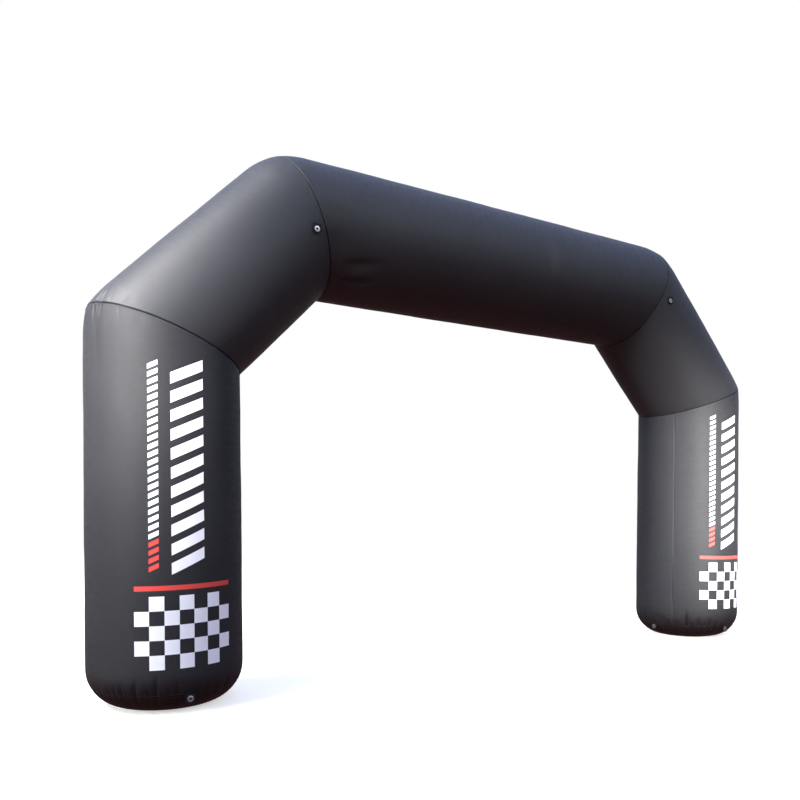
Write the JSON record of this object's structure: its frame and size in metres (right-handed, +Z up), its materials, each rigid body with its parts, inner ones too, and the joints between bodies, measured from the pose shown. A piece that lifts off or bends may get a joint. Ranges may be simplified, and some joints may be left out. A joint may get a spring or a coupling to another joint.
{
  "type": "inflatable arch",
  "caption": "Black inflatable event arch: fat airtight columns, slanted shoulders and a level beam joined at mitred seams, with eyelet tabs for guy ropes and a printed band on each column.",
  "frame": {"origin": "on the ground at the middle of the arch, halfway between its feet and between its front and back", "axes": "+X along the arch towards the right-hand column seen from the front, -Y is the front, +Z is up"},
  "size_m": [6.3802, 1.0138, 3.8679],
  "materials": {
    "tube_cloth": "satin black coated polyester, slightly shiny, fine woven grain",
    "bottom_cloth": "black heavy coated cloth, duller",
    "tab_cloth": "black coated cloth, two layers, sewn",
    "eyelet_metal": "nickel-plated pressed metal"
  },
  "bodies": {
    "root": {"column_left": "tube_cloth", "column_right": "tube_cloth", "shoulder_left": "tube_cloth", "shoulder_right": "tube_cloth", "beam": "tube_cloth", "base_panel_left": "bottom_cloth", "base_panel_right": "bottom_cloth", "tab_base_left_front": "tab_cloth", "tab_base_left_back": "tab_cloth", "tab_base_left_inner": "tab_cloth", "tab_base_right_front": "tab_cloth", "tab_base_right_back": "tab_cloth", "tab_base_right_inner": "tab_cloth", "tab_shoulder_left_front": "tab_cloth", "tab_shoulder_left_back": "tab_cloth", "tab_shoulder_right_front": "tab_cloth", "tab_shoulder_right_back": "tab_cloth", "eyelet_base_left_front": "eyelet_metal", "eyelet_base_left_back": "eyelet_metal", "eyelet_base_left_inner": "eyelet_metal", "eyelet_base_right_front": "eyelet_metal", "eyelet_base_right_back": "eyelet_metal", "eyelet_base_right_inner": "eyelet_metal", "eyelet_shoulder_left_front": "eyelet_metal", "eyelet_shoulder_left_back": "eyelet_metal", "eyelet_shoulder_right_front": "eyelet_metal", "eyelet_shoulder_right_back": "eyelet_metal"}
  },
  "joints": []
}
